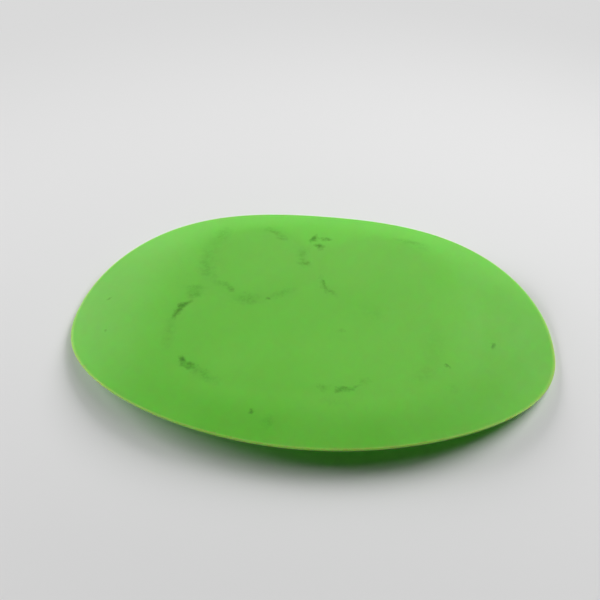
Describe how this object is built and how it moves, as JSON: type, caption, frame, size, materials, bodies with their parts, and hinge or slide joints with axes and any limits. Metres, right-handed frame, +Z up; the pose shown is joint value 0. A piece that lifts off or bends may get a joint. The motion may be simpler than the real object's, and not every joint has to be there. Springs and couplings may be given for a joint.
{
  "type": "silicone mould mat",
  "caption": "Flexible oval mould for soap, wax or resin: moulded cavities in a thin sheet with a wide brim, lying face down on its rims.",
  "frame": {"origin": "under the middle of the oval outline, on the table that the cavity rims rest on", "axes": "+X along the oval, +Y from the long cavity towards the two round cavities, +Z up out of the flat back"},
  "size_m": [0.381, 0.254, 0.0254],
  "materials": {
    "silicone": "satin, slightly translucent green silicone"
  },
  "bodies": {
    "root": {"brim": "silicone", "deck_sheet": "silicone", "left_cavity_floor": "silicone", "right_cavity_floor": "silicone", "long_cavity_floor": "silicone", "left_cavity_wall": "silicone", "right_cavity_wall": "silicone", "long_cavity_wall": "silicone", "bridge_web": "silicone"}
  },
  "joints": []
}
